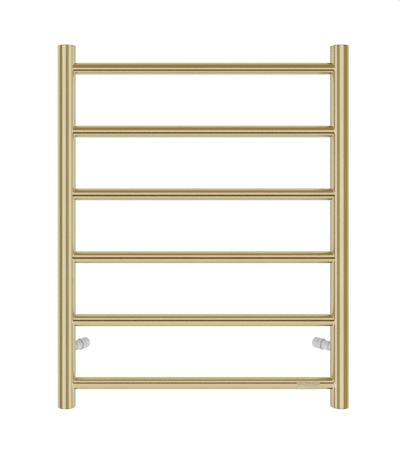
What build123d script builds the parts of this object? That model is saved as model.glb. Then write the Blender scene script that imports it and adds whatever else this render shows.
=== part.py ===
from build123d import *
import os
from math import cos, radians, sin, sqrt

# Electric ladder towel warmer: two upright posts, six rungs, four telescopic wall mounts.
# Millimetres. +Z up, +Y back towards the wall, the front faces -Y.
# The origin is on the wall, at the centre of the four wall fixings.

# Overall shape of the ladder
POST_RADIUS = 16.0
POST_WALL = 1.5
POST_SPACING = 488.0
LADDER_HEIGHT = 644.0
WALL_TO_POST_AXIS = 75.0
RUNG_RADIUS = 10.65
RUNG_WALL = 1.2
RUNG_COUNT = 6
RUNG_PITCH = 112.4
LOWEST_RUNG_HEIGHT = 41.5
FIT_GAP = 0.05

# Wall mounts: heights above the foot of the posts
LOWER_MOUNT_HEIGHT = 139.0
UPPER_MOUNT_HEIGHT = 497.0
SLEEVE_RADIUS = 8.0
SLEEVE_END_TO_WALL = 22.0
STUD_RADIUS = 6.0
STUD_LENGTH = 47.0
STUD_BORE_RADIUS = 4.75
STUD_FLOOR = 4.0
STUD_RUNNING_GAP = 0.075
WALL_FLANGE_RADIUS = 8.5
WALL_FLANGE_THICKNESS = 2.5
WALL_SCREW_RADIUS = 2.6
GRUB_RADIUS = 2.0
GRUB_LENGTH = 3.0
GRUB_TIP_GAP = 0.15
GRUB_TO_WALL = 30.0
GRUB_KEY_FLATS = 2.0
GRUB_KEY_DEPTH = 1.6

# End caps of the posts
CAP_LIP = 1.6
CAP_EDGE_RADIUS = 0.4
TOP_SPIGOT_LENGTH = 8.0
TOP_SPIGOT_WALL = 2.0
BOTTOM_SPIGOT_LENGTH = 17.0
BOTTOM_SPIGOT_WALL = 4.0
SEAL_SECTION_RADIUS = 1.0
SEAL_ABOVE_LIP = 13.0
CAP_SCREW_ABOVE_LIP = 6.0
CAP_SCREW_RADIUS = 1.5
CAP_SCREW_HEAD_RADIUS = 2.8
CAP_SCREW_LENGTH = 5.5

# Cable glands: distances are measured from the post axis, out along the gland
GLAND_HEIGHT = 103.0
GLAND_ANGLE = 35.0
GLAND_SHANK_START = 7.0
GLAND_SHANK_RADIUS = 6.0
GLAND_NECK_RADIUS = 8.0
GLAND_NECK_END = 19.6
GLAND_NECK_GROOVE_RADIUS = 7.1
GLAND_BARREL_START = 20.8
GLAND_BARREL_RADIUS = 8.2
GLAND_BARREL_END = 35.2
GLAND_COLLAR_START = 36.2
GLAND_COLLAR_RADIUS = 10.0
GLAND_COLLAR_END = 42.6
GLAND_THREAD_RADIUS = 6.8
GLAND_THREAD_END = 52.0
GLAND_BORE_RADIUS = 4.0
GLAND_SEAT_RADIUS = 5.2
GLAND_SEAT_START = 46.0
GLAND_NUT_RADIUS = 9.6
GLAND_NUT_END = 56.0
GLAND_NUT_ROUNDING = 2.6
GLAND_NUT_CLEARANCE = 0.9
GLAND_NUT_RUNNING_GAP = 0.08
GLAND_NUT_MOUTH_RADIUS = 4.4
LOCKNUT_FLATS = 14.4
LOCKNUT_START = 8.0
LOCKNUT_END = 11.8
PLUG_PIN_RADIUS = 3.0
PLUG_HEAD_RADIUS = 3.9

# Blank nameplate on the lowest rung
PLATE_CENTRE_X = 185.5
PLATE_LENGTH = 41.0
PLATE_THICKNESS = 0.35
PLATE_TOP_ANGLE = 31.0
PLATE_BOTTOM_ANGLE = -62.0
PLATE_CORNER_RADIUS = 2.0

# Heating cable and what it is wired to
CABLE_RADIUS = 2.0
CABLE_BEND_RADIUS = 24.0
CABLE_OUTBOARD = 6.0
CABLE_END_X = 205.0
SPLICE_LENGTH = 32.0
SPLICE_RADIUS = 3.2
SPLICE_CENTRE_X = 150.0
END_SEAL_RADIUS = 3.2
END_SEAL_LENGTH = 20.0
END_SEAL_OVERLAP = 14.0
BLOCK_SIZE = (14.0, 11.0, 16.0)
BLOCK_FLOOR_HEIGHT = 118.0
POLE_PITCH = 4.5
CLAMP_SIZE = (3.2, 6.0, 13.0)
CLAMP_SCREW_RADIUS = 1.1
CLAMP_SCREW_PITCH = 7.0
CUTOUT_RADIUS = 4.0
CUTOUT_LENGTH = 16.0
CUTOUT_FLOOR_HEIGHT = 62.0
CUTOUT_OFFSET = (-5.0, -4.0)
LEAD_RADIUS = 0.8
LEAD_PITCH = 3.0
EARTH_HEIGHT = 74.0
EARTH_ANGLE = 45.0
EARTH_STUD_RADIUS = 2.0
EARTH_STUD_TIP = 9.4
EARTH_NUT_FLATS = 7.0
EARTH_NUT_SPAN = (10.5, 12.9)
EARTH_TAG_SPAN = (13.0, 13.7)
EARTH_TAG_RADIUS = 3.6
EARTH_BARREL_RADIUS = 1.6
EARTH_BARREL_DISTANCE = 12.4
EARTH_BARREL_FLOOR = 78.4
EARTH_BARREL_LENGTH = 6.0
EARTH_TONGUE_WIDTH = 2.6
EARTH_TONGUE_LENGTH = 7.0
EARTH_LEAD_START = 80.0
EARTH_LEAD_OFFSET = 4.0
EARTH_LEAD_STEPS = (16.0, 6.0)
EARTH_LEAD_BEND_RADIUS = 5.0

# Places worked out from the sizes above
FOOT_Z = -(LOWER_MOUNT_HEIGHT + UPPER_MOUNT_HEIGHT) / 2
TOP_Z = FOOT_Z + LADDER_HEIGHT
POST_X = POST_SPACING / 2
POST_Y = -WALL_TO_POST_AXIS
POST_BORE = POST_RADIUS - POST_WALL
RUNG_BORE = RUNG_RADIUS - RUNG_WALL
SPIGOT_RADIUS = POST_BORE - FIT_GAP
GLAND_Z = FOOT_Z + GLAND_HEIGHT
SIDES = {"left": -1, "right": 1}
MOUNT_ROWS = {"upper": FOOT_Z + UPPER_MOUNT_HEIGHT, "lower": FOOT_Z + LOWER_MOUNT_HEIGHT}
UP = (0, 0, 1)
DOWN = (0, 0, -1)
BACK = (0, 1, 0)
FRONT = (0, -1, 0)
RIGHT = (1, 0, 0)


def rod(start, direction, radius, length):
    """A plain round bar that runs from start along direction."""
    bar = Cylinder(radius, length, align=(Align.CENTER, Align.CENTER, Align.MIN))
    return Plane(origin=start, z_dir=direction) * bar


def ring(start, direction, radius, bore, length):
    """A round bar with a coaxial bore right through."""
    return rod(start, direction, radius, length) - rod(start, direction, bore, length)


def hex_bar(start, direction, across_flats, length):
    """A hexagonal bar that runs from start along direction."""
    outline = RegularPolygon(across_flats / 2, 6, major_radius=False)
    return Plane(origin=start, z_dir=direction) * extrude(outline, length)


def wire(points, radius, bends):
    """A round wire along straight runs joined by tangent arcs."""
    path = FilletPolyline(*points, radius=bends)
    section = Plane(origin=path @ 0, z_dir=path % 0) * Circle(radius)
    return sweep(section, path=path)


def rung_z(number):
    """Height of a rung's axis. Rung 1 is the top one."""
    return FOOT_Z + LOWEST_RUNG_HEIGHT + (RUNG_COUNT - number) * RUNG_PITCH


def post_axis(side, z):
    return Vector(side * POST_X, POST_Y, z)


def post_envelope(side, radius):
    """A full-height solid bar on a post's axis, used to shape what meets the post."""
    return rod(post_axis(side, FOOT_Z), UP, radius, LADDER_HEIGHT)


def gland_direction(side):
    """Glands point back towards the wall and inwards, level."""
    return Vector(-side * sin(radians(GLAND_ANGLE)), cos(radians(GLAND_ANGLE)), 0)


def gland_point(side, distance):
    return post_axis(side, GLAND_Z) + gland_direction(side) * distance


def gland_rod(side, start, end, radius):
    return rod(gland_point(side, start), gland_direction(side), radius, end - start)


def cap_screw_start(side):
    """Outer end of the screw that holds a bottom cap, at the back of the post."""
    return post_axis(side, FOOT_Z + CAP_LIP + CAP_SCREW_ABOVE_LIP) + Vector(0, POST_RADIUS - 0.3, 0)


def countersunk(start, direction, gap):
    """A countersunk screw's outline, grown by gap, as a solid."""
    shank = rod(start, direction, CAP_SCREW_RADIUS + gap, CAP_SCREW_LENGTH)
    head_depth = CAP_SCREW_HEAD_RADIUS - CAP_SCREW_RADIUS
    head = Cone(
        CAP_SCREW_HEAD_RADIUS + gap,
        CAP_SCREW_RADIUS + gap,
        head_depth,
        align=(Align.CENTER, Align.CENTER, Align.MIN),
    )
    return shank + Plane(origin=start, z_dir=direction) * head


def make_post(side):
    """A post tube, open at both ends, with the holes that its cables and fixings need."""
    bottom = post_axis(side, FOOT_Z + CAP_LIP)
    post = ring(bottom, UP, POST_RADIUS, POST_BORE, LADDER_HEIGHT - 2 * CAP_LIP)
    for number in range(1, RUNG_COUNT + 1):
        post -= rod(post_axis(side, rung_z(number)), (-side, 0, 0), RUNG_BORE, 2 * POST_RADIUS)
    post -= gland_rod(side, 0, 2 * POST_RADIUS, GLAND_SHANK_RADIUS + FIT_GAP)
    hole_start = cap_screw_start(side)
    post -= countersunk(hole_start, FRONT, FIT_GAP)
    post -= rod(hole_start, BACK, CAP_SCREW_HEAD_RADIUS + FIT_GAP, POST_WALL)
    return post


def make_rung(number):
    """A rung tube with both ends shaped to sit on the posts."""
    rung = ring((-POST_X, POST_Y, rung_z(number)), RIGHT, RUNG_RADIUS, RUNG_BORE, POST_SPACING)
    for side in SIDES.values():
        rung -= post_envelope(side, POST_RADIUS)
    return rung


def make_top_cap(side):
    lip = rod(post_axis(side, TOP_Z - CAP_LIP), UP, POST_RADIUS, CAP_LIP)
    lip = fillet(lip.edges().group_by(Axis.Z)[-1], CAP_EDGE_RADIUS)
    spigot_start = post_axis(side, TOP_Z - CAP_LIP)
    spigot = ring(spigot_start, DOWN, SPIGOT_RADIUS, SPIGOT_RADIUS - TOP_SPIGOT_WALL, TOP_SPIGOT_LENGTH)
    return lip + spigot


def make_bottom_cap(side):
    """A plug with a groove for its sealing ring and a tapped hole for its screw."""
    lip = rod(post_axis(side, FOOT_Z), UP, POST_RADIUS, CAP_LIP)
    lip = fillet(lip.edges().group_by(Axis.Z)[0], CAP_EDGE_RADIUS)
    spigot_start = post_axis(side, FOOT_Z + CAP_LIP)
    inner = SPIGOT_RADIUS - BOTTOM_SPIGOT_WALL
    cap = lip + ring(spigot_start, UP, SPIGOT_RADIUS, inner, BOTTOM_SPIGOT_LENGTH)
    groove_width = 2 * SEAL_SECTION_RADIUS + 2 * FIT_GAP
    groove_bottom = POST_BORE - 2 * SEAL_SECTION_RADIUS - 2 * FIT_GAP
    groove_start = post_axis(side, FOOT_Z + CAP_LIP + SEAL_ABOVE_LIP - groove_width / 2)
    cap -= ring(groove_start, UP, POST_RADIUS, groove_bottom, groove_width)
    return cap - rod(cap_screw_start(side), FRONT, CAP_SCREW_RADIUS, CAP_SCREW_LENGTH)


def make_cap_seal(side):
    centre = post_axis(side, FOOT_Z + CAP_LIP + SEAL_ABOVE_LIP)
    return Pos(*centre) * Torus(POST_BORE - FIT_GAP - SEAL_SECTION_RADIUS, SEAL_SECTION_RADIUS)


def make_cap_screws():
    """The two countersunk screws that hold the bottom caps."""
    screws = []
    for side in SIDES.values():
        start = cap_screw_start(side)
        screw = countersunk(start, FRONT, 0)
        screws.append(screw - hex_bar(start, FRONT, CAP_SCREW_RADIUS * 1.3, CAP_SCREW_RADIUS))
    return Compound(children=screws)


def make_mount_sleeve(side, z):
    """A sleeve shaped to the back of the post, bored for its wall stud."""
    length = WALL_TO_POST_AXIS - SLEEVE_END_TO_WALL
    sleeve = ring(post_axis(side, z), BACK, SLEEVE_RADIUS, STUD_RADIUS + STUD_RUNNING_GAP, length)
    sleeve -= post_envelope(side, POST_RADIUS)
    grub_hole_start = (side * POST_X, -GRUB_TO_WALL, z)
    return sleeve - rod(grub_hole_start, DOWN, GRUB_RADIUS + FIT_GAP, 2 * SLEEVE_RADIUS)


def make_wall_stud(side, z):
    """A hollow stud with a small flange, screwed to the wall through its floor."""
    centre = (side * POST_X, 0, z)
    stud = rod(centre, FRONT, STUD_RADIUS, STUD_LENGTH)
    stud += rod(centre, FRONT, WALL_FLANGE_RADIUS, WALL_FLANGE_THICKNESS)
    stud -= rod((side * POST_X, -STUD_FLOOR, z), FRONT, STUD_BORE_RADIUS, STUD_LENGTH)
    return stud - rod(centre, FRONT, WALL_SCREW_RADIUS, STUD_LENGTH)


def make_grub_screw(side, z):
    """The set screw under a sleeve, with its key socket facing down."""
    tip = (side * POST_X, -GRUB_TO_WALL, z - STUD_RADIUS - GRUB_TIP_GAP)
    screw = rod(tip, DOWN, GRUB_RADIUS, GRUB_LENGTH)
    screw = chamfer(screw.edges().group_by(Axis.Z)[-1], 0.4)
    key_start = (tip[0], tip[1], tip[2] - GRUB_LENGTH)
    return screw - hex_bar(key_start, UP, GRUB_KEY_FLATS, GRUB_KEY_DEPTH)


def make_gland_body(side):
    """Threaded shank, neck, barrel, collar and nut thread in one moulding."""
    neck = gland_rod(side, 0, GLAND_NECK_END, GLAND_NECK_RADIUS) - post_envelope(side, POST_RADIUS)
    body = neck + gland_rod(side, GLAND_SHANK_START, GLAND_NECK_END, GLAND_SHANK_RADIUS)
    body += gland_rod(side, GLAND_NECK_END, GLAND_COLLAR_START, GLAND_NECK_GROOVE_RADIUS)
    body += gland_rod(side, GLAND_BARREL_START, GLAND_BARREL_END, GLAND_BARREL_RADIUS)
    body += gland_rod(side, GLAND_COLLAR_START, GLAND_COLLAR_END, GLAND_COLLAR_RADIUS)
    body += gland_rod(side, GLAND_COLLAR_END, GLAND_THREAD_END, GLAND_THREAD_RADIUS)
    body -= gland_rod(side, 0, GLAND_NUT_END, GLAND_BORE_RADIUS)
    return body - gland_rod(side, GLAND_SEAT_START, GLAND_NUT_END, GLAND_SEAT_RADIUS)


def make_gland_locknut(side):
    """The hexagon nut inside the post."""
    start = gland_point(side, LOCKNUT_START)
    nut = hex_bar(start, gland_direction(side), LOCKNUT_FLATS, LOCKNUT_END - LOCKNUT_START)
    return nut - gland_rod(side, 0, GLAND_NECK_END, GLAND_SHANK_RADIUS + FIT_GAP)


def make_gland_seal(side):
    """The rubber insert that closes on the cable."""
    start = GLAND_SEAT_START + FIT_GAP
    seal = gland_rod(side, start, GLAND_THREAD_END, GLAND_SEAT_RADIUS - FIT_GAP)
    return seal - gland_rod(side, 0, GLAND_NUT_END, PLUG_PIN_RADIUS + FIT_GAP)


def make_gland_plug(side):
    """The blanking plug of an entry that holds no cable."""
    pin = gland_rod(side, GLAND_SEAT_START, GLAND_THREAD_END + FIT_GAP, PLUG_PIN_RADIUS)
    head_start = GLAND_THREAD_END + FIT_GAP
    return pin + gland_rod(side, head_start, GLAND_NUT_END - 1, PLUG_HEAD_RADIUS)


def make_gland_nut(side):
    """The dome nut that squeezes the insert."""
    start = GLAND_COLLAR_END + GLAND_NUT_CLEARANCE
    nut = gland_rod(side, start, GLAND_NUT_END, GLAND_NUT_RADIUS)
    tip_edge = nut.edges().group_by(Axis(nut.center(), gland_direction(side)))[-1]
    nut = fillet(tip_edge, GLAND_NUT_ROUNDING)
    nut -= gland_rod(side, 0, GLAND_NUT_END, GLAND_NUT_MOUTH_RADIUS)
    thread_end = GLAND_THREAD_END + GLAND_NUT_CLEARANCE
    return nut - gland_rod(side, 0, thread_end, GLAND_THREAD_RADIUS + GLAND_NUT_RUNNING_GAP)


def make_nameplate():
    """A thin blank plate that wraps the front of the lowest rung."""
    start = (PLATE_CENTRE_X - PLATE_LENGTH / 2, POST_Y, rung_z(RUNG_COUNT))
    plate = ring(start, RIGHT, RUNG_RADIUS + PLATE_THICKNESS, RUNG_RADIUS, PLATE_LENGTH)
    reach = 2 * RUNG_RADIUS
    corners = [(0, 0)]
    for angle in (PLATE_TOP_ANGLE, PLATE_BOTTOM_ANGLE):
        corners.append((-reach * cos(radians(angle)), reach * sin(radians(angle))))
    section_plane = Plane(origin=start, x_dir=BACK, z_dir=RIGHT)
    wedge = extrude(section_plane * make_face(Polyline(*corners, close=True)), PLATE_LENGTH)
    plate &= wedge
    corner_edges = [edge for edge in plate.edges() if edge.length < 2 * PLATE_THICKNESS]
    return fillet(corner_edges, PLATE_CORNER_RADIUS)


def make_heating_cable():
    """One cable that climbs the ladder to and fro through the rungs."""
    outboard = POST_X + CABLE_OUTBOARD
    points = [(outboard, POST_Y, FOOT_Z + BLOCK_FLOOR_HEIGHT)]
    side = 1
    for number in range(RUNG_COUNT, 0, -1):
        points.append((side * outboard, POST_Y, rung_z(number)))
        side = -side
        far_end = CABLE_END_X if number == 1 else side * outboard
        points.append((far_end, POST_Y, rung_z(number)))
    return wire(points, CABLE_RADIUS, CABLE_BEND_RADIUS)


def make_cold_splice():
    """The sleeve over the joint between the cold lead and the heating cable."""
    start = (SPLICE_CENTRE_X - SPLICE_LENGTH / 2, POST_Y, rung_z(RUNG_COUNT))
    return ring(start, RIGHT, SPLICE_RADIUS, CABLE_RADIUS + FIT_GAP, SPLICE_LENGTH)


def make_cable_end_seal():
    """The closed sleeve on the far end of the heating cable."""
    start = (CABLE_END_X - END_SEAL_OVERLAP, POST_Y, rung_z(1))
    seal = rod(start, RIGHT, END_SEAL_RADIUS, END_SEAL_LENGTH)
    return seal - rod(start, RIGHT, CABLE_RADIUS + FIT_GAP, END_SEAL_OVERLAP + FIT_GAP)


def block_centre():
    return post_axis(1, FOOT_Z + BLOCK_FLOOR_HEIGHT + BLOCK_SIZE[2] / 2)


def pole_places():
    return [block_centre() + Vector(POLE_PITCH * step, 0, 0) for step in (-1, 0, 1)]


def clamp_screw_rods():
    """Two screw shanks for each pole, from the front of the block into its clamp."""
    length = BLOCK_SIZE[1] / 2
    rods = []
    for place in pole_places():
        for step in (-0.5, 0.5):
            start = place + Vector(0, -length, CLAMP_SCREW_PITCH * step)
            rods.append(rod(start, BACK, CLAMP_SCREW_RADIUS, length))
    return rods


def make_terminal_clamps():
    """Three brass clamps."""
    clamps = []
    for place in pole_places():
        clamp = Pos(*place) * Box(*CLAMP_SIZE)
        for screw in clamp_screw_rods():
            clamp -= screw
        clamps.append(clamp)
    return Compound(children=clamps)


def make_terminal_screws():
    """The clamps' six slotted screws."""
    screws = []
    for screw in clamp_screw_rods():
        box = screw.bounding_box()
        slot_place = Pos(box.center().X, box.min.Y, box.center().Z)
        screws.append(screw - slot_place * Box(4 * CLAMP_SCREW_RADIUS, 1.2, 0.5))
    return Compound(children=screws)


def make_terminal_block():
    """The insulating block around the clamps and their screws."""
    block = Pos(*block_centre()) * Box(*BLOCK_SIZE)
    block = fillet(block.edges().filter_by(Axis.Z), 1.0)
    for place in pole_places():
        block -= Pos(*place) * Box(*CLAMP_SIZE)
    for screw in clamp_screw_rods():
        block -= screw
    return block


def make_thermal_cutout():
    start = post_axis(1, FOOT_Z + CUTOUT_FLOOR_HEIGHT) + Vector(*CUTOUT_OFFSET, 0)
    return rod(start, UP, CUTOUT_RADIUS, CUTOUT_LENGTH)


def make_cutout_leads():
    """Two leads from the thermal cutout up to the terminal block."""
    start_height = CUTOUT_FLOOR_HEIGHT + CUTOUT_LENGTH
    length = BLOCK_FLOOR_HEIGHT - start_height
    leads = []
    for step in (-0.5, 0.5):
        start = post_axis(1, FOOT_Z + start_height) + Vector(*CUTOUT_OFFSET, 0)
        leads.append(rod(start + Vector(LEAD_PITCH * step, 0, 0), UP, LEAD_RADIUS, length))
    return Compound(children=leads)


def earth_direction():
    return Vector(sin(radians(EARTH_ANGLE)), cos(radians(EARTH_ANGLE)), 0)


def earth_point(distance, height=EARTH_HEIGHT):
    return post_axis(1, FOOT_Z + height) + earth_direction() * distance


def make_earth_stud():
    """A stud welded to the inside of the post."""
    stud = rod(earth_point(EARTH_STUD_TIP), earth_direction(), EARTH_STUD_RADIUS, POST_RADIUS)
    return stud & post_envelope(1, POST_BORE)


def make_earth_nut():
    near, far = EARTH_NUT_SPAN
    nut = hex_bar(earth_point(near), earth_direction(), EARTH_NUT_FLATS, far - near)
    return nut - rod(earth_point(0), earth_direction(), EARTH_STUD_RADIUS + FIT_GAP, POST_RADIUS)


def make_earth_tag():
    """A ring tag with a crimp barrel that holds the earth lead."""
    near, far = EARTH_TAG_SPAN
    tag = rod(earth_point(near), earth_direction(), EARTH_TAG_RADIUS, far - near)
    tongue = Pos(0, EARTH_TONGUE_LENGTH / 2, 0) * Box(
        EARTH_TONGUE_WIDTH,
        EARTH_TONGUE_LENGTH,
        far - near,
        align=(Align.CENTER, Align.CENTER, Align.MIN),
    )
    across = earth_direction().cross(Vector(*UP)) * -1
    face = Plane(origin=earth_point(near), x_dir=across, z_dir=earth_direction())
    tag += face * tongue
    barrel_start = earth_point(EARTH_BARREL_DISTANCE, EARTH_BARREL_FLOOR)
    tag += rod(barrel_start, UP, EARTH_BARREL_RADIUS, EARTH_BARREL_LENGTH)
    lead_start = earth_point(EARTH_BARREL_DISTANCE, EARTH_LEAD_START)
    tag -= rod(lead_start, UP, LEAD_RADIUS + FIT_GAP, EARTH_BARREL_LENGTH)
    return tag - rod(earth_point(0), earth_direction(), EARTH_STUD_RADIUS + FIT_GAP, POST_RADIUS)


def make_earth_lead():
    """The lead from the earth tag up to the terminal block."""
    low_step, high_step = EARTH_LEAD_STEPS
    entry = post_axis(1, FOOT_Z + BLOCK_FLOOR_HEIGHT) + Vector(POLE_PITCH, EARTH_LEAD_OFFSET, 0)
    points = [
        earth_point(EARTH_BARREL_DISTANCE, EARTH_LEAD_START),
        earth_point(EARTH_BARREL_DISTANCE, BLOCK_FLOOR_HEIGHT - low_step),
        entry - Vector(0, 0, high_step),
        entry,
    ]
    return wire(points, LEAD_RADIUS, EARTH_LEAD_BEND_RADIUS)


def build_parts():
    """Every sub-part by its node name."""
    parts = {}
    for number in range(1, RUNG_COUNT + 1):
        parts[f"rung_{number}"] = make_rung(number)
    for name, side in SIDES.items():
        parts[f"{name}_post"] = make_post(side)
        parts[f"top_cap_{name}"] = make_top_cap(side)
        parts[f"bottom_cap_{name}"] = make_bottom_cap(side)
        parts[f"cap_seal_{name}"] = make_cap_seal(side)
        parts[f"gland_body_{name}"] = make_gland_body(side)
        parts[f"gland_locknut_{name}"] = make_gland_locknut(side)
        parts[f"gland_seal_{name}"] = make_gland_seal(side)
        parts[f"gland_plug_{name}"] = make_gland_plug(side)
        parts[f"gland_nut_{name}"] = make_gland_nut(side)
        for row, z in MOUNT_ROWS.items():
            parts[f"mount_sleeve_{row}_{name}"] = make_mount_sleeve(side, z)
            parts[f"wall_stud_{row}_{name}"] = make_wall_stud(side, z)
            parts[f"grub_screw_{row}_{name}"] = make_grub_screw(side, z)
    parts["cap_screws"] = make_cap_screws()
    parts["nameplate"] = make_nameplate()
    parts["heating_cable"] = make_heating_cable()
    parts["cold_splice"] = make_cold_splice()
    parts["cable_end_seal"] = make_cable_end_seal()
    parts["terminal_block"] = make_terminal_block()
    parts["terminal_clamps"] = make_terminal_clamps()
    parts["terminal_screws"] = make_terminal_screws()
    parts["thermal_cutout"] = make_thermal_cutout()
    parts["cutout_leads"] = make_cutout_leads()
    parts["earth_stud"] = make_earth_stud()
    parts["earth_nut"] = make_earth_nut()
    parts["earth_tag"] = make_earth_tag()
    parts["earth_lead"] = make_earth_lead()
    return parts


os.makedirs("parts", exist_ok=True)
for node, shape in build_parts().items():
    export_step(shape, f"parts/{node}.step")
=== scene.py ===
from math import cos, pi, radians, sin, sqrt, tan

import bmesh
import bpy
from mathutils import Matrix, Vector


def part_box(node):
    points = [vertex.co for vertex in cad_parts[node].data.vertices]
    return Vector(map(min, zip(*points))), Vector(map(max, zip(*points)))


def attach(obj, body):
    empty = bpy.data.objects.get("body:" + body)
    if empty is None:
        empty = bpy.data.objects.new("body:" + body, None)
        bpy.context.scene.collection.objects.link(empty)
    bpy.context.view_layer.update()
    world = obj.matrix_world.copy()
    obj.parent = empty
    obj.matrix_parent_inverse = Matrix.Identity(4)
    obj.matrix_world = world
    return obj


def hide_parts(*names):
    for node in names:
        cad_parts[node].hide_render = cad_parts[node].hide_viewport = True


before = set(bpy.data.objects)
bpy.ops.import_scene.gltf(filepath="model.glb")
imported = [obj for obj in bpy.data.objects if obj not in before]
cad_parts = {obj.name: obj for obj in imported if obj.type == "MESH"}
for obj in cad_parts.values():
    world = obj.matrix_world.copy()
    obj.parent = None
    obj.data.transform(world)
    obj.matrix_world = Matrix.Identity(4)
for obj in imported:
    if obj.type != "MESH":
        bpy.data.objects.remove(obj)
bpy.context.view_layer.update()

MM = 0.001
UP = Vector((0, 0, 1))
DOWN = Vector((0, 0, -1))
BACK = Vector((0, 1, 0))
FRONT = Vector((0, -1, 0))
RIGHT = Vector((1, 0, 0))
SIDES = {"left": -1, "right": 1}
ROWS = ("upper", "lower")
RUNGS = [f"rung_{number}" for number in range(1, 7)]

# Sizes read from the frame, in metres
post_low, post_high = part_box("left_post")
rung_low, rung_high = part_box("rung_1")
POST_RADIUS = (post_high.x - post_low.x) / 2
RUNG_RADIUS = (rung_high.z - rung_low.z) / 2
POST_X = -(post_low.x + post_high.x) / 2
POST_Y = (post_low.y + post_high.y) / 2
FOOT_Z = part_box("bottom_cap_left")[0].z
TOP_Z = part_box("top_cap_left")[1].z

# Sizes of the tubes and fittings, in millimetres
POST_BORE = 14.5
RUNG_BORE = 9.45
WELD = 0.8
CAP_LIP = 1.6
CAP_EDGE_ROUNDING = 0.45
CAP_FIT_GAP = 0.05
SEAM_ROUNDING = 0.4
CAP_SCREW_HEIGHT = 7.6
CAP_SCREW_HEAD = 2.85
SLEEVE_RADIUS = 8.0
SLEEVE_BORE = 6.075
STUD_LENGTH = 47.0
STUD_RADIUS = 6.0
STUD_BORE = 4.75
STUD_FLOOR = 4.0
STUD_FLANGE = 2.5
STUD_FLANGE_RADIUS = 8.5
WALL_SCREW_HOLE = 2.6
GRUB_TO_WALL = 30.0
GRUB_HOLE = 2.05

# The glands: radii, and distances along each gland from its post's axis, in millimetres
GLAND_HEIGHT = 103.0
GLAND_ANGLE = 35.0
GLAND_HOLE = 6.05
SHANK_START = 7.0
SHANK_RADIUS = 6.0
NECK_RADIUS = 8.0
NECK_END = 19.6
GROOVE_RADIUS = 7.1
BARREL_RADIUS = 8.2
BARREL_START = 20.8
BARREL_END = 35.2
COLLAR_RADIUS = 10.0
COLLAR_START = 36.2
COLLAR_END = 42.6
THREAD_RADIUS = 6.8
THREAD_END = 52.0
SEAT_RADIUS = 5.2
SEAT_START = 46.0
ENTRY_BORE = 4.0
NUT_RADIUS = 9.6
NUT_START = 43.5
NUT_END = 56.0
NUT_THREAD_RADIUS = 6.88
NUT_THREAD_END = 52.9
NUT_MOUTH_RADIUS = 4.4
PLUG_PIN_RADIUS = 3.0
PLUG_HEAD_RADIUS = 3.9
PLUG_HEAD_START = 52.05
PLUG_HEAD_END = 55.0

# Points round each turned surface
POST_SEGMENTS = 128
RUNG_SEGMENTS = 96
GLAND_SEGMENTS = 144

# The studio, in metres
PANEL_HEIGHT = 2.6
STRIP_LENGTH = 2.4
FLOOR_DROP = 0.9
CAMERA_X = -0.108
CAMERA_AHEAD = 1.204
CAMERA_HEIGHT = 0.43


# ---------------------------------------------------------------- mesh helpers


def rounded(corners, steps=4):
    """Turns (along, radius, rounding) corners of a closed outline into points with small arcs.

    Each arc has a support point a little way along each side, so the flats stay flat when shaded."""
    points = []
    count = len(corners)
    for index, (along, radius, rounding) in enumerate(corners):
        corner = Vector((along, radius))
        if rounding == 0:
            points.append(corner)
            continue
        before = Vector(corners[index - 1][:2]) - corner
        after = Vector(corners[(index + 1) % count][:2]) - corner
        half_angle = before.angle(after) / 2
        reach = rounding / tan(half_angle)
        longest = (min(before.length, after.length) + reach) / 2
        support = min(3 * reach, longest)
        before.normalize()
        after.normalize()
        middle = (before + after).normalized()
        centre = corner + middle * (rounding / sin(half_angle))
        sweep = pi / 2 - half_angle
        across = Vector((-middle.y, middle.x))
        if across.dot(after) < 0:
            across.negate()
        points.append(corner + before * support)
        for step in range(steps + 1):
            angle = sweep * (2 * step / steps - 1)
            points.append(centre - middle * (rounding * cos(angle)) + across * (rounding * sin(angle)))
        points.append(corner + after * support)
    return points


def finish_piece(name, mesh, sharp_angle=38):
    """Smooth shading with sharp edges, as an object in the scene."""
    for face in mesh.polygons:
        face.use_smooth = True
    mesh.set_sharp_from_angle(angle=radians(sharp_angle))
    piece = bpy.data.objects.new(name, mesh)
    bpy.context.scene.collection.objects.link(piece)
    return piece


def skin(name, rings, closed):
    """Joins rings of points into one surface. A ring of one point is a pole."""
    work = bmesh.new()
    rows = [[work.verts.new(point) for point in ring] for ring in rings]
    pairs = list(zip(rows, rows[1:]))
    if closed:
        pairs.append((rows[-1], rows[0]))
    for first, second in pairs:
        count = max(len(first), len(second))
        for index in range(count):
            corner = [first[index % len(first)], first[(index + 1) % len(first)]]
            corner += [second[(index + 1) % len(second)], second[index % len(second)]]
            unique = list(dict.fromkeys(corner))
            if len(unique) > 2:
                work.faces.new(unique)
    bmesh.ops.recalc_face_normals(work, faces=work.faces)
    mesh = bpy.data.meshes.new(name)
    work.to_mesh(mesh)
    work.free()
    return finish_piece(name, mesh)


def cross_axes(direction):
    """Two unit vectors square to a direction. The second one is up where it can be."""
    second = RIGHT if abs(direction.z) > 0.9 else UP
    return direction.cross(second).normalized(), second


def circle(centre, direction, radius, segments, ripple=None):
    """A ring of points. ripple gives each angle's change of radius in metres."""
    first, second = cross_axes(direction)
    points = []
    for index in range(segments):
        angle = 2 * pi * index / segments
        reach = radius + (ripple(angle) if ripple else 0)
        points.append(centre + first * (cos(angle) * reach) + second * (sin(angle) * reach))
    return points


def lathe(name, outline, start, direction, segments=96, ripple=None):
    """Turns an outline of (along, radius) points in millimetres round a line from start."""
    rings = []
    for along, radius in outline:
        centre = start + direction * (along * MM)
        if radius == 0:
            rings.append([centre])
        else:
            wave = ripple(along, radius) if ripple else None
            rings.append(circle(centre, direction, radius * MM, segments, wave))
    ends_on_axis = outline[0][1] == 0 and outline[-1][1] == 0
    return skin(name, rings, closed=not ends_on_axis)


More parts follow.
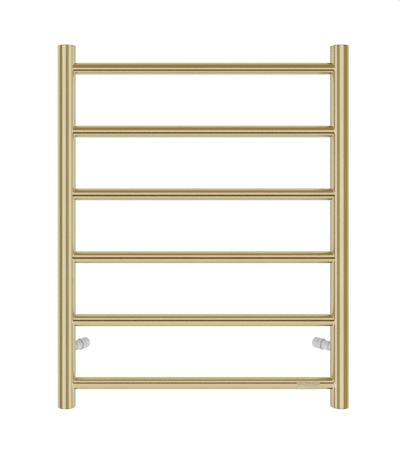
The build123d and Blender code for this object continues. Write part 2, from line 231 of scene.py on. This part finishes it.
def drill(piece, holes):
    """Cuts round holes, each (start, direction, radius, length) in metres."""
    cutters = []
    for start, direction, radius, length in holes:
        outline = [(0, 0), (0, radius / MM), (length / MM, radius / MM), (length / MM, 0)]
        cutters.append(lathe("cutter", outline, start, direction, segments=48))
    for cutter in cutters:
        cut = piece.modifiers.new("cut", "BOOLEAN")
        cut.operation = "DIFFERENCE"
        cut.solver = "EXACT"
        cut.object = cutter
    evaluated = piece.evaluated_get(bpy.context.evaluated_depsgraph_get())
    mesh = bpy.data.meshes.new_from_object(evaluated)
    name = piece.name
    bpy.data.objects.remove(piece)
    for cutter in cutters:
        bpy.data.objects.remove(cutter)
    return finish_piece(name, mesh)


def true_round(piece, start, direction, radius):
    """Gives the faces of a turned surface their exact normals, so cut holes don't dent the shading."""
    mesh = piece.data
    normals = [(0.0, 0.0, 0.0)] * len(mesh.loops)
    for face in mesh.polygons:
        outward = []
        for corner in face.vertices:
            offset = mesh.vertices[corner].co - start
            outward.append(offset - direction * offset.dot(direction))
        on_surface = all(abs(arm.length - radius) < 0.02 * MM for arm in outward)
        if on_surface and face.normal.dot(outward[0].normalized()) > 0.9:
            for loop, arm in zip(face.loop_indices, outward):
                normals[loop] = arm.normalized()
    mesh.normals_split_custom_set(normals)
    return piece


# ---------------------------------------------------------------- places


def post_axis(side, z):
    """A point on a post's axis. side is -1 for the left post and 1 for the right."""
    return Vector((side * POST_X, POST_Y, z))


def rung_z(name):
    low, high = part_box(name)
    return (low.z + high.z) / 2


def gland_direction(side):
    return Vector((-side * sin(radians(GLAND_ANGLE)), cos(radians(GLAND_ANGLE)), 0))


def gland_start(side):
    return post_axis(side, FOOT_Z + GLAND_HEIGHT * MM)


def mount_centre(row, name):
    """The middle of a wall stud's foot, on the wall."""
    low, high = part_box(f"wall_stud_{row}_{name}")
    return Vector(((low.x + high.x) / 2, high.y, (low.z + high.z) / 2))


# ---------------------------------------------------------------- pieces


def saddle_ring(side, z, direction, radius, lift, segments):
    """A ring of a branch tube that follows the post's surface, lifted off it along the branch."""
    first, second = cross_axes(direction)
    points = []
    for index in range(segments):
        angle = 2 * pi * index / segments
        sideways = radius * cos(angle)
        along = sqrt(POST_RADIUS**2 - sideways**2) + lift
        middle = post_axis(side, z) + direction * along
        points.append(middle + first * sideways + second * radius * sin(angle))
    return points


def weld_rings(side, z, direction, radius, segments, steps=5):
    """A small concave weld where a tube of this radius meets the post, from the post outwards."""
    rings = []
    for step in range(steps, -1, -1):
        angle = pi / 2 * step / steps
        wide = radius + WELD * MM * (1 - cos(angle))
        lift = WELD * MM * (1 - sin(angle))
        rings.append(saddle_ring(side, z, direction, wide, lift, segments))
    rings.append(saddle_ring(side, z, direction, radius, 2 * WELD * MM, segments))
    return rings


def make_post(name, side):
    """The tube of a post, open at both ends, with its holes for rungs, gland and cap screw."""
    foot = FOOT_Z + CAP_LIP * MM
    length = (TOP_Z - FOOT_Z) / MM - 2 * CAP_LIP
    outer = POST_RADIUS / MM
    corners = [
        (0, POST_BORE, 0),
        (0, outer, SEAM_ROUNDING),
        (length, outer, SEAM_ROUNDING),
        (length, POST_BORE, 0),
    ]
    post = lathe(f"{name}_post_tube", rounded(corners), post_axis(side, foot), UP, POST_SEGMENTS)
    inward = RIGHT * -side
    holes = [(post_axis(side, rung_z(rung)), inward, RUNG_BORE * MM, 2 * POST_RADIUS) for rung in RUNGS]
    holes.append((gland_start(side), gland_direction(side), GLAND_HOLE * MM, 2 * POST_RADIUS))
    screw = post_axis(side, FOOT_Z + CAP_SCREW_HEIGHT * MM)
    holes.append((screw, BACK, CAP_SCREW_HEAD * MM, 2 * POST_RADIUS))
    post = true_round(drill(post, holes), post_axis(side, foot), UP, POST_RADIUS)
    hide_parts(f"{name}_post")
    return post


def make_rung(node):
    """A tube with both ends shaped to its posts, and a weld round each end."""
    z = rung_z(node)
    segments = RUNG_SEGMENTS
    rings = weld_rings(-1, z, RIGHT, RUNG_RADIUS, segments)
    far_rings = weld_rings(1, z, -RIGHT, RUNG_RADIUS, segments)
    # The far ring runs the other way round, so it is put in the same order as the near one.
    half = segments // 2
    for ring in reversed(far_rings):
        rings.append([ring[(half - index) % segments] for index in range(segments)])
    inner_far = saddle_ring(1, z, -RIGHT, RUNG_BORE * MM, 0, segments)
    rings.append([inner_far[(half - index) % segments] for index in range(segments)])
    rings.append(saddle_ring(-1, z, RIGHT, RUNG_BORE * MM, 0, segments))
    rung = skin(f"{node}_tube", rings, closed=True)
    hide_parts(node)
    return rung


def make_cap(name, side, end):
    """A post's end cap: a lip with rounded edges and a hollow spigot inside the tube."""
    direction = DOWN if end == "top" else UP
    lip_face = TOP_Z if end == "top" else FOOT_Z
    spigot = 8.0 if end == "top" else 17.0
    wall = 2.0 if end == "top" else 4.0
    outer = POST_RADIUS / MM
    fit = POST_BORE - CAP_FIT_GAP
    corners = [
        (0, 0, 0),
        (0, outer, CAP_EDGE_ROUNDING),
        (CAP_LIP, outer, SEAM_ROUNDING),
        (CAP_LIP, fit, 0),
        (CAP_LIP + spigot, fit, 0.4),
        (CAP_LIP + spigot, fit - wall, 0.4),
        (CAP_LIP, fit - wall, 0),
        (CAP_LIP, 0, 0),
    ]
    name_in_scene = f"{end}_cap_{name}_disc"
    cap = lathe(name_in_scene, rounded(corners), post_axis(side, lip_face), direction, POST_SEGMENTS)
    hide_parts(f"{end}_cap_{name}")
    return cap


def make_sleeve(row, name, side):
    """The tube welded to the back of the post, with its set-screw hole below."""
    wall_point = mount_centre(row, name)
    segments = RUNG_SEGMENTS
    sleeve_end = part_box(f"mount_sleeve_{row}_{name}")[1].y
    end = (sleeve_end - POST_Y) / MM
    rings = weld_rings(side, wall_point.z, BACK, SLEEVE_RADIUS * MM, segments)
    corners = [
        (end / 2, SLEEVE_RADIUS, 0),
        (end, SLEEVE_RADIUS, 0.5),
        (end, SLEEVE_BORE, 0.3),
        (end / 2, SLEEVE_BORE, 0),
    ]
    start = post_axis(side, wall_point.z)
    for along, radius in rounded(corners)[1:-1]:
        rings.append(circle(start + BACK * along * MM, BACK, radius * MM, segments))
    rings.append(saddle_ring(side, wall_point.z, BACK, SLEEVE_BORE * MM, 0, segments))
    sleeve = skin(f"mount_sleeve_{row}_{name}_tube", rings, closed=True)
    hole = Vector((side * POST_X, -GRUB_TO_WALL * MM, wall_point.z))
    sleeve = drill(sleeve, [(hole, DOWN, GRUB_HOLE * MM, 12 * MM)])
    sleeve = true_round(sleeve, start, BACK, SLEEVE_RADIUS * MM)
    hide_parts(f"mount_sleeve_{row}_{name}")
    return sleeve


def make_stud(row, name):
    """The hollow wall stud: a flange on the wall, a barrel, and a screw hole in its floor."""
    corners = [
        (0, WALL_SCREW_HOLE, 0.2),
        (0, STUD_FLANGE_RADIUS, 0),
        (STUD_FLANGE, STUD_FLANGE_RADIUS, 0.8),
        (STUD_FLANGE, STUD_RADIUS, 0.5),
        (STUD_LENGTH, STUD_RADIUS, 0.5),
        (STUD_LENGTH, STUD_BORE, 0.3),
        (STUD_FLOOR, STUD_BORE, 0.3),
        (STUD_FLOOR, WALL_SCREW_HOLE, 0.3),
    ]
    stud = lathe(f"wall_stud_{row}_{name}_turned", rounded(corners), mount_centre(row, name), FRONT)
    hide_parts(f"wall_stud_{row}_{name}")
    return stud


def grip_ripple(first_along, last_along, smallest_radius, ribs, depth=0.1):
    """Moulded grip ribs round part of a turned piece. They only cut in."""

    def ripple(along, radius):
        if not first_along <= along <= last_along or radius < smallest_radius:
            return None
        return lambda angle: -depth * MM * max(0.0, cos(ribs * angle)) ** 2

    return ripple


def make_gland_body(name, side):
    """Neck, barrel and ribbed collar in one grey moulding, open for its seal."""
    segments = GLAND_SEGMENTS
    direction = gland_direction(side)
    start = gland_start(side)
    z = start.z
    rings = [
        saddle_ring(side, z, direction, NECK_RADIUS * MM, 0, segments),
        saddle_ring(side, z, direction, NECK_RADIUS * MM, 0.3 * MM, segments),
    ]
    corners = [
        (NECK_END - 1.6, NECK_RADIUS, 0),
        (NECK_END, NECK_RADIUS, 0.3),
        (NECK_END, GROOVE_RADIUS, 0),
        (BARREL_START, GROOVE_RADIUS, 0),
        (BARREL_START, BARREL_RADIUS, 0.35),
        (BARREL_END, BARREL_RADIUS, 0.35),
        (BARREL_END, GROOVE_RADIUS, 0),
        (COLLAR_START, GROOVE_RADIUS, 0),
        (COLLAR_START, COLLAR_RADIUS, 0.5),
        (COLLAR_END, COLLAR_RADIUS, 0.5),
        (COLLAR_END, THREAD_RADIUS, 0),
        (THREAD_END, THREAD_RADIUS, 0.4),
        (THREAD_END, SEAT_RADIUS, 0),
        (SEAT_START, SEAT_RADIUS, 0),
        (SEAT_START, ENTRY_BORE, 0),
        (SHANK_START, ENTRY_BORE, 0),
        (SHANK_START, SHANK_RADIUS, 0),
        (14.6, SHANK_RADIUS, 0),
    ]
    ripple = grip_ripple(COLLAR_START + 0.4, COLLAR_END - 0.4, smallest_radius=9.0, ribs=24)
    for along, radius in rounded(corners)[1:]:
        wave = ripple(along, radius)
        rings.append(circle(start + direction * along * MM, direction, radius * MM, segments, wave))
    rings.append(saddle_ring(side, z, direction, SHANK_RADIUS * MM, 0, segments))
    body = skin(f"gland_body_{name}_moulding", rings, closed=True)
    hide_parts(f"gland_body_{name}")
    return body


def make_gland_nut(name, side):
    """The dome nut, with shallow grip ribs."""
    corners = [
        (NUT_START, NUT_THREAD_RADIUS, 0.2),
        (NUT_START, NUT_RADIUS, 0.5),
        (NUT_END, NUT_RADIUS, 2.5),
        (NUT_END, NUT_MOUTH_RADIUS, 0.3),
        (NUT_THREAD_END, NUT_MOUTH_RADIUS, 0.2),
        (NUT_THREAD_END, NUT_THREAD_RADIUS, 0),
    ]
    outline = rounded(corners, steps=7)
    ripple = grip_ripple(NUT_START + 0.5, NUT_END - 3, smallest_radius=8.5, ribs=18)
    start = gland_start(side)
    direction = gland_direction(side)
    nut = lathe(f"gland_nut_{name}_dome", outline, start, direction, GLAND_SEGMENTS, ripple)
    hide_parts(f"gland_nut_{name}")
    return nut


def make_gland_plug(name, side):
    """The blanking plug, seen in the mouth of the nut."""
    corners = [
        (SEAT_START, 0, 0),
        (SEAT_START, PLUG_PIN_RADIUS, 0.3),
        (PLUG_HEAD_START, PLUG_PIN_RADIUS, 0),
        (PLUG_HEAD_START, PLUG_HEAD_RADIUS, 0.2),
        (PLUG_HEAD_END, PLUG_HEAD_RADIUS, 0.8),
        (PLUG_HEAD_END, 0, 0),
    ]
    direction = gland_direction(side)
    plug = lathe(f"gland_plug_{name}_moulding", rounded(corners), gland_start(side), direction, 64)
    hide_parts(f"gland_plug_{name}")
    return plug


# ---------------------------------------------------------------- materials


class Nodes:
    """A short way to write a node material."""

    def __init__(self, name):
        self.material = bpy.data.materials.new(name)
        self.material.use_nodes = True
        self.tree = self.material.node_tree
        self.shader = self.tree.nodes["Principled BSDF"]

    def add(self, kind, inputs=None, **settings):
        node = self.tree.nodes.new(kind)
        for setting, value in settings.items():
            setattr(node, setting, value)
        for socket, value in (inputs or {}).items():
            self.feed(node, socket, value)
        return node

    def feed(self, node, socket, value):
        if isinstance(value, bpy.types.NodeSocket):
            self.tree.links.new(value, node.inputs[socket])
        else:
            node.inputs[socket].default_value = value

    def noise(self, scale, stretch=(1, 1, 1), detail=3.0, roughness=0.5):
        """Noise in the object's own metres, stretched along its axes."""
        place = self.add("ShaderNodeTexCoord").outputs["Object"]
        placed = self.add("ShaderNodeMapping", {"Vector": place, "Scale": stretch})
        settings = {
            "Vector": placed.outputs["Vector"],
            "Scale": scale,
            "Detail": detail,
            "Roughness": roughness,
        }
        return self.add("ShaderNodeTexNoise", settings).outputs["Fac"]

    def span(self, value, low, high, start=0.3, end=0.7):
        """Maps a 0 to 1 value onto a range."""
        settings = {"Value": value, "From Min": start, "From Max": end, "To Min": low, "To Max": high}
        return self.add("ShaderNodeMapRange", settings).outputs["Result"]

    def mix(self, factor, first, second):
        """Blends two colours. The colour sockets of a Mix node are inputs 6 and 7 and output 2."""
        settings = {0: factor, 6: first, 7: second}
        return self.add("ShaderNodeMix", settings, data_type="RGBA").outputs[2]

    def edges(self, start=0.52, end=0.6):
        """Rises from 0 to 1 on outward edges: the mask for the painted edge highlights."""
        pointiness = self.add("ShaderNodeNewGeometry").outputs["Pointiness"]
        return self.span(pointiness, 0.0, 1.0, start, end)

    def bump(self, height, strength, distance):
        """Turns a height into the shader's normal. distance is in metres."""
        settings = {"Height": height, "Strength": strength, "Distance": distance}
        self.feed(self.shader, "Normal", self.add("ShaderNodeBump", settings).outputs["Normal"])

    def plain(self, **values):
        """Values that are the same all over, set on the shader's own sockets."""
        for socket, value in values.items():
            self.shader.inputs[socket.replace("_", " ")].default_value = value


def colour(red, green, blue):
    """A linear colour from 0 to 255 display values."""

    def linear(value):
        value /= 255
        return value / 12.92 if value <= 0.04045 else ((value + 0.055) / 1.055) ** 2.4

    return (linear(red), linear(green), linear(blue), 1.0)


def gold_steel(name, along, rough=(0.075, 0.115)):
    """Gold-coloured coating on polished steel: fine polishing lines along the tube, soft clouding, and a
    painted highlight on outward edges.
    """
    nodes = Nodes(name)
    stretch = [1.0, 1.0, 1.0]
    stretch["xyz".index(along)] = 0.012
    lines = nodes.noise(2600, stretch, detail=4.0)
    clouds = nodes.noise(9, detail=2.0)
    smudges = nodes.noise(42, detail=5.0, roughness=0.6)
    tint = nodes.mix(nodes.span(clouds, 0.0, 1.0), colour(222, 204, 160), colour(226, 209, 166))
    # Outward edges take a paler gold colour: a painted edge highlight.
    tint_with_painted_highlight = nodes.mix(nodes.edges(), tint, colour(232, 219, 184))
    nodes.feed(nodes.shader, "Base Color", tint_with_painted_highlight)
    smudged = nodes.span(smudges, *rough)
    scratched = nodes.span(lines, -0.02, 0.02)
    both = nodes.add("ShaderNodeMath", {0: smudged, 1: scratched}, operation="ADD")
    nodes.feed(nodes.shader, "Roughness", both.outputs[0])
    nodes.bump(lines, 0.05, 0.00002)
    nodes.plain(Metallic=1.0)
    return nodes.material


def etched_plate(name):
    """The blank plate: a pale gold satin lacquer on fine blasted metal."""
    nodes = Nodes(name)
    grain = nodes.noise(5200, detail=2.0)
    clouds = nodes.noise(60, detail=3.0)
    tint = nodes.mix(nodes.span(clouds, 0.0, 1.0), colour(214, 203, 167), colour(221, 211, 176))
    nodes.feed(nodes.shader, "Base Color", tint)
    nodes.feed(nodes.shader, "Roughness", nodes.span(grain, 0.44, 0.54))
    nodes.bump(grain, 0.15, 0.00004)
    nodes.plain(Metallic=0.4)
    return nodes.material


def moulded(name, light, dark, rough, grain=2400, fleck=120, bump=0.12):
    """Moulded plastic or rubber with a fine spark-eroded grain and a painted highlight on outward edges.
    """
    nodes = Nodes(name)
    texture = nodes.noise(grain, detail=3.0)
    patches = nodes.noise(fleck, detail=3.0)
    tint = nodes.mix(nodes.span(patches, 0.0, 1.0), dark, light)
    # Outward edges take a colour 8 % lighter than the light tone: a painted edge highlight.
    painted_highlight_colour = tuple(min(1.0, value * 1.08) for value in light[:3]) + (1.0,)
    nodes.feed(nodes.shader, "Base Color", nodes.mix(nodes.edges(), tint, painted_highlight_colour))
    nodes.feed(nodes.shader, "Roughness", nodes.span(texture, *rough))
    nodes.bump(texture, bump, 0.00006)
    return nodes.material


def plain_metal(name, light, dark, rough):
    """Turned or pressed metal of the small parts, with faint machining marks and a painted highlight on
    outward edges.
    """
    nodes = Nodes(name)
    marks = nodes.noise(1800, (1, 1, 0.2), detail=4.0)
    stains = nodes.noise(260, detail=3.0)
    tint = nodes.mix(nodes.span(stains, 0.0, 1.0), dark, light)
    # Outward edges take the light tone: a painted edge highlight.
    nodes.feed(nodes.shader, "Base Color", nodes.mix(nodes.edges(), tint, light))
    nodes.feed(nodes.shader, "Roughness", nodes.span(marks, *rough))
    nodes.bump(marks, 0.1, 0.00003)
    nodes.plain(Metallic=1.0)
    return nodes.material


def clad(piece, material):
    """Gives a new piece its only material."""
    piece.data.materials.clear()
    piece.data.materials.append(material)


def clad_node(node, material):
    """Puts a material in every slot of a CAD node's object."""
    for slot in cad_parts[node].material_slots:
        slot.link = "OBJECT"
        slot.material = material


# ---------------------------------------------------------------- studio


def softbox(name, start, end, run, radiance, lit):
    """A soft light that fills the strip from start to end, stretched by run, and faces the rack.

    The camera doesn't see it. lit is the set of pieces that it lights."""
    start, end, run = Vector(start), Vector(end), Vector(run)
    centre = (start + end) / 2
    along = (end - start).normalized()
    facing = along.cross(run).normalized()
    if facing.dot(Vector((0, POST_Y, 0)) - centre) < 0:
        facing.negate()
    turn = Matrix((along, -facing.cross(along), -facing)).transposed()
    data = bpy.data.lights.new(name, "AREA")
    data.shape = "RECTANGLE"
    data.size = (end - start).length
    data.size_y = run.length
    strongest = max(radiance)
    data.color = [value / strongest for value in radiance]
    data.energy = pi * data.size * data.size_y * strongest
    light = bpy.data.objects.new(name, data)
    light.location = centre
    light.rotation_euler = turn.to_euler()
    light.visible_camera = False
    light.light_linking.receiver_collection = lit
    bpy.context.scene.collection.objects.link(light)
    return light


def upright_panel(name, start, end, radiance, lit):
    """A tall panel between two plan points, each (x, distance in front of the posts)."""
    middle_z = (FOOT_Z + TOP_Z) / 2
    places = [(x, POST_Y - ahead, middle_z) for x, ahead in (start, end)]
    softbox(name, *places, (0, 0, PANEL_HEIGHT), radiance, lit)


def level_strip(name, start, end, radiance, lit):
    """A long strip beside the rungs, between two points (distance in front, height above the foot)."""
    places = [(0, POST_Y - ahead, FOOT_Z + height) for ahead, height in (start, end)]
    softbox(name, *places, (STRIP_LENGTH, 0, 0), radiance, lit)


def group(name, pieces):
    """A set of pieces that some lights are kept for."""
    made = bpy.data.collections.new(name)
    for piece in pieces:
        made.objects.link(piece)
    return made


def make_world(dark):
    """White behind the object for the camera, dim and warm for everything else."""
    world = bpy.data.worlds.new("studio")
    world.use_nodes = True
    tree = world.node_tree
    background = tree.nodes["Background"]
    background.inputs["Color"].default_value = (*dark, 1.0)
    white = tree.nodes.new("ShaderNodeBackground")
    white.inputs["Color"].default_value = (1.0, 1.0, 1.0, 1.0)
    path = tree.nodes.new("ShaderNodeLightPath")
    blend = tree.nodes.new("ShaderNodeMixShader")
    tree.links.new(path.outputs["Is Camera Ray"], blend.inputs[0])
    tree.links.new(background.outputs[0], blend.inputs[1])
    tree.links.new(white.outputs[0], blend.inputs[2])
    tree.links.new(blend.outputs[0], tree.nodes["World Output"].inputs["Surface"])
    bpy.context.scene.world = world


def make_floor():
    """A plain white floor well below the rack."""
    size = 3.0
    mesh = bpy.data.meshes.new("floor")
    corners = [(-size, -size, 0), (size, -size, 0), (size, size, 0), (-size, size, 0)]
    mesh.from_pydata(corners, [], [(0, 1, 2, 3)])
    floor = bpy.data.objects.new("floor", mesh)
    floor.location.z = FOOT_Z - FLOOR_DROP
    bpy.context.scene.collection.objects.link(floor)
    nodes = Nodes("floor_white")
    nodes.plain(Base_Color=(0.8, 0.8, 0.8, 1.0), Roughness=0.9)
    nodes.plain(Emission_Color=(1.0, 1.0, 1.0, 1.0), Emission_Strength=1.0)
    mesh.materials.append(nodes.material)
    floor.visible_glossy = False
    floor.visible_diffuse = False


def make_camera():
    """Level, left of the middle and above half height, shifted to frame the whole rack."""
    data = bpy.data.cameras.new("camera")
    data.lens = 54.0
    data.sensor_width = 36.0
    data.shift_x = 0.1278
    data.shift_y = -0.1309
    camera = bpy.data.objects.new("camera", data)
    camera.location = (CAMERA_X, POST_Y - CAMERA_AHEAD, FOOT_Z + CAMERA_HEIGHT)
    camera.rotation_euler = (pi / 2, 0, 0)
    bpy.context.scene.collection.objects.link(camera)
    bpy.context.scene.camera = camera


# ---------------------------------------------------------------- assembly

posts = [make_post(name, side) for name, side in SIDES.items()]
caps = [make_cap(name, side, end) for name, side in SIDES.items() for end in ("top", "bottom")]
rungs = [make_rung(node) for node in RUNGS]
sleeves = [make_sleeve(row, name, side) for row in ROWS for name, side in SIDES.items()]
studs = [make_stud(row, name) for row in ROWS for name in SIDES]
gland_bodies = [make_gland_body(name, side) for name, side in SIDES.items()]
gland_nuts = {name: make_gland_nut(name, side) for name, side in SIDES.items()}
gland_plugs = [make_gland_plug(name, side) for name, side in SIDES.items()]

for piece in posts + caps + rungs + sleeves + gland_bodies + gland_plugs:
    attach(piece, "rack")
for piece in studs:
    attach(piece, "wall_mounts")
for name, nut in gland_nuts.items():
    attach(nut, f"gland_nut_{name}")

gold_upright = gold_steel("gold_upright", "z")
gold_across = gold_steel("gold_across", "x")
gold_depth = gold_steel("gold_depth", "y", rough=(0.14, 0.22))
nylon_light, nylon_dark = colour(203, 201, 202), colour(197, 195, 197)
grey_nylon = moulded("grey_nylon", nylon_light, nylon_dark, (0.5, 0.6), fleck=60, bump=0.04)
for piece in posts + caps:
    clad(piece, gold_upright)
for piece in rungs:
    clad(piece, gold_across)
for piece in sleeves + studs:
    clad(piece, gold_depth)
for piece in gland_bodies + gland_plugs + list(gland_nuts.values()):
    clad(piece, grey_nylon)

screw_steel = plain_metal("screw_steel", colour(205, 205, 206), colour(176, 177, 180), (0.22, 0.34))
brass = plain_metal("brass", colour(214, 186, 118), colour(186, 152, 86), (0.25, 0.4))
tin_plate = plain_metal("tin_plate", colour(214, 215, 217), colour(188, 190, 194), (0.3, 0.45))
black_rubber = moulded("black_rubber", colour(46, 46, 47), colour(34, 34, 36), (0.55, 0.7))
sleeve_black = moulded("sleeve_black", colour(40, 40, 42), colour(28, 28, 30), (0.35, 0.5))
block_plastic = moulded("block_plastic", colour(238, 235, 226), colour(226, 222, 210), (0.4, 0.55))
cable_silicone = moulded("cable_silicone", colour(178, 56, 42), colour(158, 44, 34), (0.45, 0.6))
lead_blue = moulded("lead_blue", colour(52, 92, 168), colour(40, 76, 148), (0.35, 0.5))
lead_green = moulded("lead_green", colour(74, 160, 72), colour(58, 140, 58), (0.35, 0.5))
satin_plate = etched_plate("satin_plate")

NODE_MATERIALS = {
    "nameplate": satin_plate,
    "cap_screws": screw_steel,
    "terminal_screws": screw_steel,
    "earth_nut": screw_steel,
    "earth_stud": screw_steel,
    "terminal_clamps": brass,
    "thermal_cutout": tin_plate,
    "earth_tag": tin_plate,
    "heating_cable": cable_silicone,
    "cold_splice": sleeve_black,
    "cable_end_seal": sleeve_black,
    "terminal_block": block_plastic,
    "cutout_leads": lead_blue,
    "earth_lead": lead_green,
}
for name in SIDES:
    NODE_MATERIALS[f"cap_seal_{name}"] = black_rubber
    NODE_MATERIALS[f"gland_seal_{name}"] = black_rubber
    NODE_MATERIALS[f"gland_locknut_{name}"] = grey_nylon
    for row in ROWS:
        NODE_MATERIALS[f"grub_screw_{row}_{name}"] = screw_steel
for node, material in NODE_MATERIALS.items():
    clad_node(node, material)

# Posts, rungs and glands each have softboxes of their own, so that each shows its own reflections.
# Each row gives a panel's two edges and its light, which adds to the dim warm light of the world.
rungs_lit = group("rungs_lit", rungs + sleeves + studs + [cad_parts["nameplate"]])
left_post_lit = group("left_post_lit", [posts[0], caps[0], caps[1]])
right_post_lit = group("right_post_lit", [posts[1], caps[2], caps[3]])
fittings_lit = group("fittings_lit", gland_bodies + gland_plugs + list(gland_nuts.values()))

POST_PANELS = {
    "left_box": ((-0.487, 0.224), (-0.282, 0.482), (0.77, 0.92, 1.19)),
    "right_box": ((0.109, 0.536), (0.451, 0.312), (0.77, 0.90, 1.10)),
    "between": ((-0.282, 0.482), (0.109, 0.536), (0.30, 0.27, 0.18)),
    "left_side": ((-1.0, 0.015), (-0.487, 0.224), (0.24, 0.20, 0.12)),
    "left_wall": ((-1.0, 0.0), (-1.0, -0.60), (0.64, 0.70, 0.80)),
    "back_left": ((-1.0, -0.60), (-0.32, -0.60), (0.66, 0.74, 0.86)),
    "back_middle": ((-0.32, -0.60), (0.32, -0.60), (0.24, 0.21, 0.14)),
    "back_right": ((0.32, -0.60), (1.0, -0.60), (0.62, 0.70, 0.82)),
}
LEFT_POST_PANELS = {
    "near_right": ((0.451, 0.312), (1.0, 0.02), (0.52, 0.55, 0.58)),
    "right_wall": ((1.0, 0.010), (1.0, -0.60), (0.64, 0.72, 0.84)),
}
RIGHT_POST_PANELS = {
    "far_right": ((0.451, 0.312), (1.0, -0.05), (0.28, 0.24, 0.13)),
    "dim_wall": ((1.0, -0.05), (1.0, -0.60), (0.45, 0.48, 0.44)),
}
RUNG_STRIPS = {
    "front_box": ((0.38, 0.652), (0.58, 0.383), (0.82, 0.83, 0.92)),
    "above_box": ((0.38, 0.66), (0.38, 1.90), (0.21, 0.18, 0.10)),
    "ceiling": ((0.38, 1.90), (-0.50, 1.90), (0.46, 0.46, 0.42)),
    "back_top": ((-0.50, 1.90), (-0.50, 0.72), (0.68, 0.76, 0.90)),
    "back_gap": ((-0.50, 0.72), (-0.50, 0.46), (0.22, 0.20, 0.12)),
    "back_low": ((-0.50, 0.46), (-0.50, -0.35), (0.68, 0.76, 0.90)),
    "low_card": ((0.40, 0.085), (0.40, -0.35), (0.74, 0.78, 0.88)),
    "table_front": ((0.40, -0.35), (0.0, -0.35), (0.64, 0.70, 0.76)),
    "table_back": ((0.0, -0.35), (-0.50, -0.35), (0.50, 0.58, 0.66)),
}
RUNG_END_PANELS = {
    "left_end": ((-1.2, 0.9), (-1.2, -0.6), (0.46, 0.46, 0.42)),
    "right_end": ((1.2, 0.9), (1.2, -0.6), (0.46, 0.46, 0.42)),
}
FITTING_PANELS = {
    "soft_front": ((-1.0, 1.0), (1.0, 1.0), (0.98, 1.02, 1.09)),
    "soft_back": ((-1.0, -0.8), (1.0, -0.8), (0.98, 1.02, 1.09)),
    "soft_left": ((-1.0, 1.0), (-1.0, -0.8), (0.98, 1.02, 1.09)),
    "soft_right": ((1.0, 1.0), (1.0, -0.8), (0.98, 1.02, 1.09)),
}
FITTING_STRIPS = {
    "soft_top": ((1.0, 1.90), (-0.8, 1.90), (0.98, 1.02, 1.09)),
    "soft_table": ((1.0, -0.60), (-0.8, -0.60), (0.70, 0.75, 0.82)),
}
for name, (start, end, radiance) in POST_PANELS.items():
    upright_panel(f"{name}_for_left", start, end, radiance, left_post_lit)
    upright_panel(f"{name}_for_right", start, end, radiance, right_post_lit)
for name, (start, end, radiance) in LEFT_POST_PANELS.items():
    upright_panel(name, start, end, radiance, left_post_lit)
for name, (start, end, radiance) in RIGHT_POST_PANELS.items():
    upright_panel(name, start, end, radiance, right_post_lit)
for name, (start, end, radiance) in RUNG_END_PANELS.items():
    upright_panel(name, start, end, radiance, rungs_lit)
for name, (start, end, radiance) in FITTING_PANELS.items():
    upright_panel(name, start, end, radiance, fittings_lit)
for name, (start, end, radiance) in FITTING_STRIPS.items():
    level_strip(name, start, end, radiance, fittings_lit)
for name, (start, end, radiance) in RUNG_STRIPS.items():
    level_strip(name, start, end, radiance, rungs_lit)

make_world((0.16, 0.12, 0.055))
make_floor()
make_camera()
bpy.context.scene.view_settings.view_transform = "Standard"
